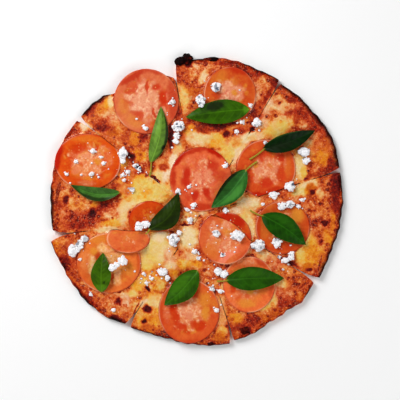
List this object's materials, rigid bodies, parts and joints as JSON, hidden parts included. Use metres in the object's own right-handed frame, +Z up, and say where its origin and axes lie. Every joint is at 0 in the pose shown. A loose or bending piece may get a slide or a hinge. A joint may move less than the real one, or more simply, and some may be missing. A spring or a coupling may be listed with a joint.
{
  "type": "margherita pizza",
  "caption": "Round thin-crust pizza cut into slices, topped with melted cheese, tomato slices, basil leaves and crumbs of white blue-veined cheese; it lies flat.",
  "frame": {"origin": "middle of the pizza's outline, on the flat underside of the crust", "axes": "+Z up out of the toppings, +Y towards the pizza's far side in the picture, +X to its right"},
  "size_m": [0.2835, 0.2825, 0.0166],
  "materials": {
    "crust": "baked thin dough, orange brown, scorched black at the outer lip",
    "cheese": "melted cheese over tomato sauce, pale yellow pools, orange red between them, brown blisters",
    "tomato": "baked tomato slice, red skin, orange flesh, wet red seed pockets",
    "basil": "fresh leaf, dark green with lighter veins, slight gloss",
    "crumb": "crumbled white cheese with blue grey mould veins"
  },
  "bodies": {
    "root": {"crust_1": "crust", "crust_2": "crust", "crust_3": "crust", "crust_4": "crust", "crust_5": "crust", "crust_6": "crust", "crust_7": "crust", "crust_8": "crust", "cheese_1": "cheese", "cheese_2": "cheese", "cheese_3": "cheese", "cheese_4": "cheese", "cheese_5": "cheese", "cheese_6": "cheese", "cheese_7": "cheese", "cheese_8": "cheese", "tomato_1": "tomato", "tomato_2": "tomato", "tomato_3": "tomato", "tomato_4": "tomato", "tomato_5": "tomato", "tomato_6": "tomato", "tomato_7": "tomato", "tomato_8": "tomato", "tomato_9": "tomato", "tomato_10": "tomato", "tomato_11": "tomato", "tomato_12": "tomato", "tomato_13": "tomato", "basil_1": "basil", "basil_2": "basil", "basil_3": "basil", "basil_4": "basil", "basil_5": "basil", "basil_6": "basil", "basil_7": "basil", "basil_8": "basil", "basil_9": "basil", "basil_10": "basil", "crumb_1": "crumb", "crumb_2": "crumb", "crumb_3": "crumb", "crumb_4": "crumb", "crumb_5": "crumb", "crumb_6": "crumb", "crumb_7": "crumb", "crumb_8": "crumb", "crumb_9": "crumb", "crumb_10": "crumb", "crumb_11": "crumb", "crumb_12": "crumb", "crumb_13": "crumb", "crumb_14": "crumb", "crumb_15": "crumb", "crumb_16": "crumb", "crumb_17": "crumb", "crumb_18": "crumb", "crumb_19": "crumb", "crumb_20": "crumb"}
  },
  "joints": []
}
